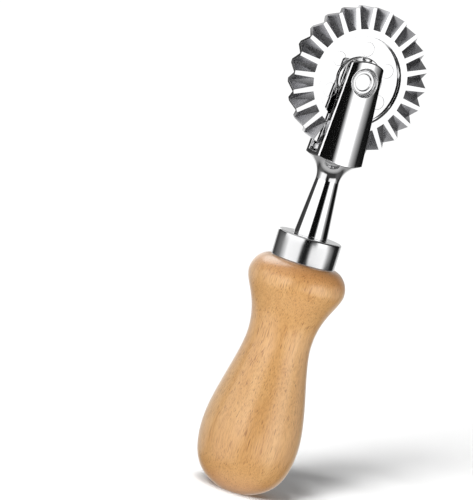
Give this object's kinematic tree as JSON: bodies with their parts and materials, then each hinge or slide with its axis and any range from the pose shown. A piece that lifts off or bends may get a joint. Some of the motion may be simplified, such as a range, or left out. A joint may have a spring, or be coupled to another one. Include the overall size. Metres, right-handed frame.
{
  "type": "pastry cutter wheel",
  "caption": "Hand pastry cutter: a fluted steel wheel turning on a rivet in a cast fork, with a steel ferrule and a turned beech handle.",
  "frame": {"origin": "middle of the flat at the end of the handle, which the tool stands on", "axes": "+Z along the handle towards the wheel, +Y along the wheel's axle from the rolled end of the rivet to its flat head, +X across the fork"},
  "size_m": [0.0414, 0.0282, 0.1399],
  "materials": {
    "beech": "turned beech with a clear satin lacquer",
    "ferrule_steel": "polished pressed steel",
    "fork_chrome": "chrome plated casting, mirror polished",
    "wheel_chrome": "chrome plated, polished",
    "rivet_steel": "plated steel rivet with a hollow end"
  },
  "bodies": {
    "tool": {"handle": "beech", "ferrule": "ferrule_steel", "fork": "fork_chrome", "rivet": "rivet_steel"},
    "cutting_wheel": {"wheel": "wheel_chrome"}
  },
  "joints": [
    {"name": "wheel_spin", "type": "hinge", "parent": "tool", "child": "cutting_wheel", "pos_m": [0, 0, 0.1192], "axis": [0, 1, 0], "continuous": true}
  ]
}
